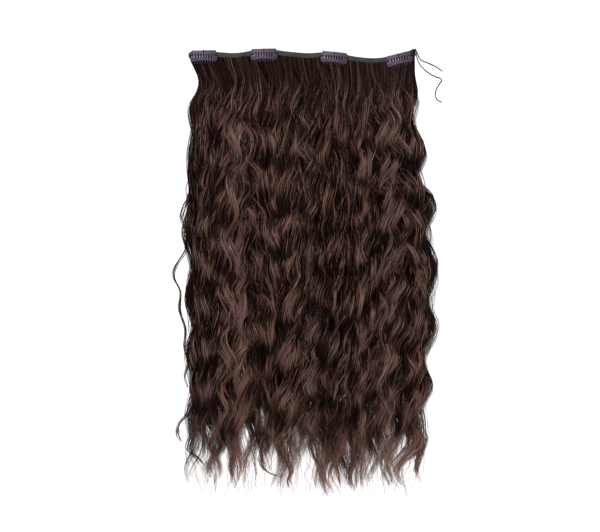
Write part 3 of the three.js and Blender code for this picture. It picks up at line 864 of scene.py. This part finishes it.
line, width, light, warmth = (np.concatenate([row[part] for row in tufts]) for part in range(4))
mesh = ribbons("hair_tufts", line, width, light, warmth)
dress("hair_tufts", mesh, hair_paint)
print("tuft strands:", len(line), "triangles:", 2 * len(mesh.polygons))

# %% [markdown]
# Under the strands each main lock has a solid core, so that no light shows through the hair.
# It follows the same swinging line as its strands, stays inside them and ends well before
# their tips.

# %% Lock cores
SECTION_SIDES, CORE_STATIONS, CORE_SHARE = 10, 76, 0.8
CORE_START, CORE_END = -0.003, 0.93
turns = np.linspace(0, 2 * math.pi, SECTION_SIDES, endpoint=False)
section = np.stack([np.cos(turns), 0.5 + 0.5 * np.sin(turns)], -1)
cores = []
for lane, reach, width, phase, wave, swing in MAIN_LOCKS:
    share = np.linspace(0, CORE_END, CORE_STATIONS)
    down = CORE_START + share * (reach - CORE_START)
    turn = 2 * math.pi * (down * HAIR_LENGTH / (WAVE_LENGTH * wave) + phase)
    started = smoothstep(down, *WAVE_RISE)
    taper = 1 - 0.96 * smoothstep(share, 0.6, CORE_END)
    half = LOCK_WIDTH / 2 * width * taper * CORE_SHARE
    lift = 1 - started * WAVE_LIFT * (1 + np.cos(turn))
    top = hair_depth(down) * lift * np.sqrt(taper) * CORE_SHARE
    middle = hair_x(lane, down) + started * swing * WAVE_SWING * np.sin(turn)
    x = middle[:, None] + half[:, None] * section[None, :, 0]
    z = 0.15 + top[:, None] * section[None, :, 1]
    cores.append(np.stack([x, hair_y(x, down[:, None]), z], -1))
cores = np.array(cores)
core_mesh = new_mesh("hair_core", cores.reshape(-1, 3), ring_faces(*cores.shape[:3]))
# the cores' tone is set very dark: painted shade for the hair deep inside the locks
facts = np.tile((0.12, 0.4, 0.5), (len(core_mesh.vertices), 1))
core_mesh.attributes.new(STRAND_FACTS, "FLOAT_VECTOR", "POINT").data.foreach_set(
    "vector", facts.astype(np.float32).ravel()
)
dress("hair_core", core_mesh, core_paint, nodes=["hair"])
print("core triangles:", 2 * len(core_mesh.polygons))

# %% [markdown]
# The weft is a narrow doubled band of dark grey-green cloth, sewn by machine. Its section is a
# soft flattened oval that dips a little along both stitch rows. The stitches are real geometry:
# short threads that rise out of the cloth and dive back in. A slanting overcast stitch binds
# the top edge.

# %% Weft
STITCH_ROWS, STITCH_PITCH = (-1.15, -3.2), 1.7
WEFT_STATIONS, WEFT_SIDES = 380, 34
stations = np.linspace(-WEFT_LENGTH / 2, WEFT_LENGTH / 2, WEFT_STATIONS)
turns = np.linspace(0, 2 * math.pi, WEFT_SIDES, endpoint=False)


def rounded(value, power):
    return np.sign(value) * np.abs(value) ** power


def pull(x, y_from_top):
    """How deep the stitches pull the cloth in, in millimetres."""
    rows = sum(np.exp(-(((y_from_top - row) / 0.42) ** 2)) for row in STITCH_ROWS)
    return rows * (0.13 + 0.07 * np.cos(2 * math.pi * x / STITCH_PITCH))


def cloth_top(x, y_from_top):
    """The height of the band's upper face."""
    reach = np.clip(1 - np.abs(2 * y_from_top / WEFT_HEIGHT + 1) ** 4, 0, 1)
    return WEFT_THICKNESS / 2 * (1 + np.sqrt(reach)) - pull(x, y_from_top)


across = WEFT_HEIGHT / 2 * (rounded(np.cos(turns), 0.6) - 1)
up = WEFT_THICKNESS / 2 * (1 + rounded(np.sin(turns), 0.6))
x = np.broadcast_to(stations[:, None], (WEFT_STATIONS, WEFT_SIDES))
z = np.where(up > WEFT_THICKNESS / 2, up - pull(x, across), up)
fuzz = rng.normal(0, 0.02, z.shape)
band = np.stack([x, top_edge(x) + across, np.maximum(z + fuzz, 0.02)], -1)[None]
weft_cloth = Finish("weft_cloth")
place = weft_cloth.node("ShaderNodeTexCoord", output="Object")
along_band = weft_cloth.node("ShaderNodeSeparateXYZ", {}, [place], "X")
up_band = weft_cloth.node("ShaderNodeSeparateXYZ", {}, [place], "Y")
WEAVE_PITCH = 0.55
THREADS_PER_METRE = 2 * math.pi / (WEAVE_PITCH * MM)
warp = (along_band * THREADS_PER_METRE).maths("SINE", along_band * THREADS_PER_METRE)
weave = warp * (up_band * THREADS_PER_METRE).maths("SINE", up_band * THREADS_PER_METRE)
wear = weft_cloth.noise(place, 160.0, 4.0)
tone = 0.5 + 0.32 * weave + 1.1 * (wear - 0.5)
bump = weft_cloth.node("ShaderNodeBump", {}, {"Strength": 0.35, "Distance": 0.0002, "Height": tone})
weft_paint = weft_cloth.surface(
    Base_Color=weft_cloth.mix(tone, (0.014, 0.013, 0.010, 1), (0.062, 0.063, 0.055, 1)),
    Roughness=0.86 - 0.1 * wear,
    Normal=bump,
    Sheen_Weight=0.15,
    Specular_IOR_Level=0.25,
)
band_mesh = new_mesh("weft_band", band.reshape(-1, 3), ring_faces(1, WEFT_STATIONS, WEFT_SIDES))
dress("weft_band", band_mesh, weft_paint, nodes=["weft"])
print("weft triangles:", 2 * len(band_mesh.polygons))

# %% Stitches
stitch_thread = thread_paint("grey_thread", (0.028, 0.027, 0.024))
dash = np.linspace(-0.5, 0.5, 7)
runs = []
for row in STITCH_ROWS:
    middles = np.arange(-WEFT_LENGTH / 2 + 1.5, WEFT_LENGTH / 2 - 2.6, STITCH_PITCH)
    x = middles[:, None] + dash * STITCH_PITCH * 0.94
    slant = rng.normal(0, 0.05, (len(middles), 1)) + 0.3 * dash
    y = top_edge(x) + row + slant
    z = cloth_top(x, row + slant) + 0.28 * (1 - (2 * dash) ** 4) - 0.16
    runs.append(np.stack([x, y, z], -1))
over = np.linspace(0, 1, 7)
middles = np.arange(-WEFT_LENGTH / 2 + 1.2, WEFT_LENGTH / 2 - 2.6, 1.5)
x = middles[:, None] + 0.9 * over + rng.normal(0, 0.06, (len(middles), 1))
hop = -0.75 + 0.85 * np.sin(over * math.pi / 2)
z = 1.0 + 1.08 * np.cos(over * math.pi / 2) ** 0.6
runs.append(np.stack([x, top_edge(x) + hop, z + 0 * x], -1))
runs = np.concatenate(runs)
mesh = tubes("weft_stitches", runs, np.full(runs.shape[:2], 0.17), 5)
dress("weft_stitches", mesh, stitch_thread)
print("stitches:", len(runs), "triangles:", 2 * len(mesh.polygons))

# %% [markdown]
# The sewing ends at the weft's right end: the thread is wound round the band many times, the
# later turns slanting over the first, and is tied off in a small knot on top of them.

# %% Bound end and knot
WINDINGS, WINDING_PITCH, BOUND_LENGTH = 13, 0.36, 4.6
windings = []
for number in range(WINDINGS):
    x = WEFT_LENGTH / 2 - BOUND_LENGTH + WINDING_PITCH * number + rng.normal(0, 0.08)
    turn = np.linspace(0.15, 2 * math.pi - 0.15, 32) + rng.uniform(0, 6)
    over = rng.uniform(0.1, 0.45)
    y = top_edge(x) + (WEFT_HEIGHT / 2 + over) * rounded(np.cos(turn), 0.6) - WEFT_HEIGHT / 2
    z = WEFT_THICKNESS / 2 + 0.12 + (WEFT_THICKNESS / 2 + over) * rounded(np.sin(turn), 0.6)
    slope = rng.normal(0, 0.5) * np.sin(turn)
    windings.append(np.stack([x + slope, y, np.maximum(z, 0.26)], -1))
windings = np.array(windings)
mesh = tubes("end_windings", windings, np.full(windings.shape[:2], 0.26), 6, (1, 0, 0))
dress("end_windings", mesh, black_thread)
turn = np.linspace(0, 2 * math.pi, 64)
knot = np.stack(
    [
        1.1 * np.sin(turn) + 0.6 * np.sin(2 * turn),
        1.2 * np.cos(turn) - 0.5 * np.cos(2 * turn),
        0.6 * np.sin(3 * turn),
    ],
    -1,
)
knot += (WEFT_LENGTH / 2 - 1.2, top_edge(WEFT_LENGTH / 2) - 0.9, 3.0)
mesh = tubes("end_knot", knot[None], np.full((1, 64), 0.5), 8, (0.3, 0.2, 1))
dress("end_knot", mesh, black_thread)
print("windings:", len(windings))

# %% [markdown]
# A snap comb clip is two pressed pieces of thin spring steel with a glossy mauve-brown enamel.
# Each starts as a flat outline. It is filled, cut into narrow strips so that it can bend, and
# then lifted into its arch, thickened and given rounded edges.

# %% Pressed sheet
CLIP_LENGTH, CLIP_HEIGHT, CLIP_CAMBER, SHEET = 24.0, 11.8, 1.0, 0.5
BAR_LENGTH, BAR_HEIGHT, BAR_CORNER = 22.4, 3.7, 1.1
NOTCH_WIDTH, NOTCH_DEPTH = 0.9, 2.8
STRIP_INSET, STRIP_HEIGHT = 0.6, 2.0
BOW_TOP, BOW_HEIGHT, BOW_RISE = 6.7, 2.3, 0.7
EAR_WIDTH, EAR_BULGE_AT, EAR_FOOT_TAPER = 3.5, 5.1, 1.5
EAR_HOLE, EAR_HOLE_SPACING = 0.55, 3.3
TEETH, TOOTH_PITCH, TOOTH_ROOT, TOOTH_TIP = 8, 2.35, 1.25, 0.75
TOOTH_ARCH, TOOTH_DROP = 0.8, 0.6
FRAME_UP = WEFT_THICKNESS + GAP
COMB_UP = SHEET + GAP


def camber(x):
    return CLIP_CAMBER * (1 - (2 * x / CLIP_LENGTH) ** 2)


def pressed_sheet(name, outlines, lift, cut=0.85):
    """A sheet of spring steel from flat outlines: the outer one and any windows."""
    bm = bmesh.new()
    edges = []
    for outline in outlines:
        corners = [bm.verts.new((x, y, 0)) for x, y in outline]
        edges += [bm.edges.new(pair) for pair in zip(corners, corners[1:] + corners[:1])]
    bmesh.ops.triangle_fill(bm, use_beauty=True, edges=edges, normal=(0, 0, 1))
    for axis, reach in ((0, CLIP_LENGTH / 2), (1, CLIP_HEIGHT)):
        for place in np.arange(-reach + cut / 2, reach, cut):
            where, normal = [0, 0, 0], [0, 0, 0]
            where[axis], normal[axis] = place, 1
            geometry = bm.verts[:] + bm.edges[:] + bm.faces[:]
            bmesh.ops.bisect_plane(
                bm, geom=geometry, plane_co=where, plane_no=normal, dist=1e-4
            )
    for v in bm.verts:
        v.co.z = lift(v.co.x, v.co.y)
    bmesh.ops.scale(bm, vec=(MM, MM, MM), verts=bm.verts)
    bmesh.ops.recalc_face_normals(bm, faces=bm.faces)
    if sum(face.normal.z for face in bm.faces) < 0:
        bmesh.ops.reverse_faces(bm, faces=bm.faces)
    for face in bm.faces:
        face.smooth = True
    mesh = bpy.data.meshes.new(name)
    bm.to_mesh(mesh)
    bm.free()
    return mesh


def thicken(piece):
    solid = piece.modifiers.new("sheet", "SOLIDIFY")
    solid.thickness, solid.offset = SHEET * MM, 1
    edge = piece.modifiers.new("pressed_edge", "BEVEL")
    edge.width, edge.segments, edge.limit_method = 0.14 * MM, 2, "ANGLE"
    edge.angle_limit = math.radians(50)
    piece.modifiers.new("shading", "WEIGHTED_NORMAL")


def bend(start, through_point, end, steps=8):
    """A quadratic curve from start to end, without its first point."""
    t = np.linspace(0, 1, steps + 1)[1:, None]
    start, middle, end = (np.array(p, float) for p in (start, through_point, end))
    return [tuple(p) for p in start * (1 - t) ** 2 + 2 * middle * t * (1 - t) + end * t * t]


def round_hole(x, y, radius, sides=20):
    turn = np.linspace(0, 2 * math.pi, sides, endpoint=False)
    return list(zip(x + radius * np.cos(turn), y + radius * np.sin(turn)))


def both_sides(right):
    """A closed outline from its right half, which runs from the middle line to it."""
    return right + [(-x, y) for x, y in right[-2:0:-1]]


# %% Clip outlines
ear_out = CLIP_LENGTH / 2
ear_foot = -(BOW_TOP + BOW_HEIGHT + BOW_RISE)
bow_end = ear_out - EAR_WIDTH
strip_end = BAR_LENGTH / 2 - BAR_CORNER
strip_low = -(STRIP_INSET + STRIP_HEIGHT)
frame_half = [(0, -STRIP_INSET), (strip_end, -STRIP_INSET), (strip_end, strip_low)]
frame_half += bend((strip_end, strip_low), (ear_out, strip_low), (ear_out, -EAR_BULGE_AT))
foot = (ear_out - EAR_FOOT_TAPER, ear_foot)
frame_half += bend((ear_out, -EAR_BULGE_AT), (ear_out, ear_foot + 1), foot)
frame_half += bend(foot, foot, (bow_end, ear_foot), 2)
bow_low = ear_foot + BOW_RISE
frame_half += bend((bow_end, ear_foot), (bow_end / 2, bow_low), (0, bow_low))
window_half = [(0, strip_low)]
window_half += bend((0, strip_low), (0, strip_low), (bow_end - EAR_HOLE, strip_low), 2)
window_half += bend(window_half[-1], (bow_end, strip_low), (bow_end, strip_low - EAR_HOLE), 4)
window_half += [(bow_end, -BOW_TOP - BOW_RISE)]
window_half += bend((bow_end, -BOW_TOP - BOW_RISE), (bow_end / 2, -BOW_TOP), (0, -BOW_TOP))
hole_places = [
    (side * (ear_out - EAR_WIDTH / 2), -EAR_BULGE_AT + EAR_HOLE - row * EAR_HOLE_SPACING)
    for side in (-1, 1)
    for row in (0, 1)
]
frame_outlines = [both_sides(frame_half), both_sides(window_half)]
frame_outlines += [round_hole(x, y, EAR_HOLE) for x, y in hole_places]

notch, bar_end, corner_from = NOTCH_WIDTH / 2, BAR_LENGTH / 2, BAR_LENGTH / 2 - BAR_CORNER
comb_half = [(0, -NOTCH_DEPTH), (notch, -NOTCH_DEPTH), (notch, 0), (corner_from, 0)]
comb_half += bend((corner_from, 0), (bar_end, 0), (bar_end, -BAR_CORNER), 6)
comb_half += bend((bar_end, -BAR_CORNER), (bar_end, -BAR_HEIGHT), (corner_from, -BAR_HEIGHT), 6)
for tooth in reversed(range(TEETH // 2)):
    middle = (tooth + 0.5) * TOOTH_PITCH
    tip = -CLIP_HEIGHT + TOOTH_TIP / 2
    comb_half += [(middle + TOOTH_ROOT / 2, -BAR_HEIGHT)]
    turn = np.linspace(0, -math.pi, 7)
    comb_half += [
        (middle + TOOTH_TIP / 2 * math.cos(t), tip + TOOTH_TIP / 2 * math.sin(t)) for t in turn
    ]
    comb_half += [(middle - TOOTH_ROOT / 2, -BAR_HEIGHT)]
    gap_end = middle - TOOTH_PITCH + TOOTH_ROOT / 2
    arch = bend(
        (middle - TOOTH_ROOT / 2, -BAR_HEIGHT),
        (middle - TOOTH_PITCH / 2, -BAR_HEIGHT + 0.9),
        (gap_end, -BAR_HEIGHT), 6,
    )
    comb_half += [p for p in arch[:-1] if p[0] > 1e-6]
comb_half += [(0, -BAR_HEIGHT + 0.45)]
comb_outline = both_sides(comb_half)


def comb_lift(x, y):
    """The comb lies over the frame, and its teeth arch over the bow and hook down."""
    share = np.clip((-BAR_HEIGHT - y) / (CLIP_HEIGHT - TOOTH_TIP / 2 - BAR_HEIGHT), 0, 1)
    arch = TOOTH_ARCH * math.sin(math.pi * share) - TOOTH_DROP * share**2
    return camber(x) + COMB_UP + arch


print("corners of the comb's outline:", len(comb_outline))

# %% [markdown]
# The enamel is a thin glossy lacquer over steel. It is mauve where it catches the light and
# nearly brown where it doesn't, a little uneven, with fine wear scratches in its gloss.

# %% Enamel
enamel = Finish("mauve_enamel")
place = enamel.node("ShaderNodeTexCoord", output="Object")
cloudy = enamel.noise(place, 420.0, 3.0)
worn = enamel.noise(enamel.stretched(place, (260.0, 1900.0, 260.0)), 1.0, 4.0)
gloss_bump = enamel.node(
    "ShaderNodeBump", {}, {"Strength": 0.12, "Distance": 0.0001, "Height": cloudy}
)
enamel_paint = enamel.surface(
    Base_Color=enamel.mix(cloudy, (0.021, 0.012, 0.025, 1), (0.068, 0.041, 0.078, 1)),
    Metallic=0.3,
    Roughness=0.38 + 0.2 * worn,
    Specular_IOR_Level=0.36,
    Normal=gloss_bump,
    Coat_Weight=0.12,
    Coat_Roughness=0.25,
)

# %% [markdown]
# Each clip goes to the place of its hinge: the hinge runs along the clip's top edge. The frame
# is sewn to the weft and the comb turns on its own body. Thread is wound round the frame in
# the notch of the top bar and through the upper hole of each ear.

# %% Clips
RIM = 0.17


def clip_place(joint):
    """The clip's own frame: x along its top edge, the teeth towards -y, millimetres."""
    right = -Vector(joint["axis"])
    up = Vector((0, 0, 1))
    forward = up.cross(right)
    turned = Matrix((right, forward, up)).transposed().to_4x4()
    x, y, _ = joint["pos_m"]
    return Matrix.Translation((x, y, FRAME_UP * MM)) @ turned


def loop_over(x1, y1, x2, y2, low, high):
    """A thread from one point over the sheet to another, diving down at both ends."""
    t = np.linspace(0, 1, 14)
    z = low + (high - low) * np.clip(np.sin(math.pi * t), 0, 1) ** 0.4
    return np.stack([x1 + (x2 - x1) * t, y1 + (y2 - y1) * t, z], -1)


turn = np.linspace(0, 2 * math.pi, 21)
for number in range(1, 5):
    joint = next(j for j in frame["joints"] if j["name"] == f"clip_{number}_snap")
    place = clip_place(joint)
    steel = (
        ("frame", frame_outlines, lambda x, y: camber(x), BODY),
        ("comb", [comb_outline], comb_lift, f"comb_{number}"),
    )
    for kind, outlines, lift, body in steel:
        name = f"clip_{number}_{kind}"
        mesh = pressed_sheet(name + "_steel", outlines, lift)
        mesh.transform(place)
        node = [name]
        thicken(dress(name + "_steel", mesh, enamel_paint, body, node))
    rims = []
    for x, y in hole_places:
        radius = EAR_HOLE + RIM / 2
        ring = [x + radius * np.cos(turn), y + radius * np.sin(turn)]
        rims.append(np.stack([*ring, camber(ring[0]) + SHEET], -1))
    rims = np.array(rims)
    mesh = tubes(f"clip_{number}_rims", rims, np.full(rims.shape[:2], RIM), 8)
    mesh.transform(place)
    dress(f"clip_{number}_rims", mesh, enamel_paint)
    sewn = [
        loop_over(x, 0.35, x + 0.03, -NOTCH_DEPTH + 0.1, -0.25, camber(0) + SHEET + 0.3)
        for x in (-0.28, 0.0, 0.26)
    ]
    for side in (-1, 1):
        hole = side * (ear_out - EAR_WIDTH / 2)
        y = -EAR_BULGE_AT + EAR_HOLE
        for fan in (-0.5, 0.05, 0.6):
            end = side * (ear_out + 0.28)
            sewn.append(loop_over(hole, y, end, y + fan, -0.2, SHEET + 0.42))
    sewn = np.array(sewn)
    mesh = tubes(f"clip_{number}_sewing", sewn, np.full(sewn.shape[:2], 0.15), 8, (0, 0.1, 1))
    mesh.transform(place)
    dress(f"clip_{number}_sewing", mesh, black_thread)
print("clips dressed:", number)

# %% [markdown]
# The table is a plain white sheet. The light comes from far away, so that it falls evenly on
# the whole table: one lamp high over the weft's left corner, a weak and very soft one from the
# tips' side, and a dim pale room all round, which keeps the gaps between the locks dark.


# %% Table and light
def simple_paint(name, colour, roughness):
    return Finish(name).surface(Base_Color=(*colour, 1), Roughness=roughness)


TABLE_HALF = 3000
table_corners = [(TABLE_HALF * x, TABLE_HALF * y, 0) for x, y in ((-1, -1), (1, -1), (1, 1), (-1, 1))]
floor_mesh = new_mesh("table", table_corners, [(0, 1, 2, 3)])
floor = bpy.data.objects.new("table", floor_mesh)
bpy.context.collection.objects.link(floor)
floor.data.materials.append(simple_paint("white_table", (0.9, 0.9, 0.9), 0.9))


def sun(name, towards, softness, strength):
    """A lamp so far away that it lights the whole table evenly. softness is in degrees."""
    light = bpy.data.lights.new(name, "SUN")
    light.angle, light.energy = math.radians(softness), strength
    holder = bpy.data.objects.new(name, light)
    bpy.context.collection.objects.link(holder)
    holder.rotation_euler = Vector(towards).to_track_quat("-Z", "Y").to_euler()


sun("key", (0.35, -0.75, -1.7), 9, 3.4)
sun("fill", (-0.5, 0.7, -1.6), 70, 0.9)
world = bpy.data.worlds.new("room")
world.use_nodes = True
world.node_tree.nodes["Background"].inputs["Color"].default_value = (1, 1, 1, 1)
world.node_tree.nodes["Background"].inputs["Strength"].default_value = 0.12
bpy.context.scene.world = world
bpy.context.scene.view_settings.view_transform = "Standard"
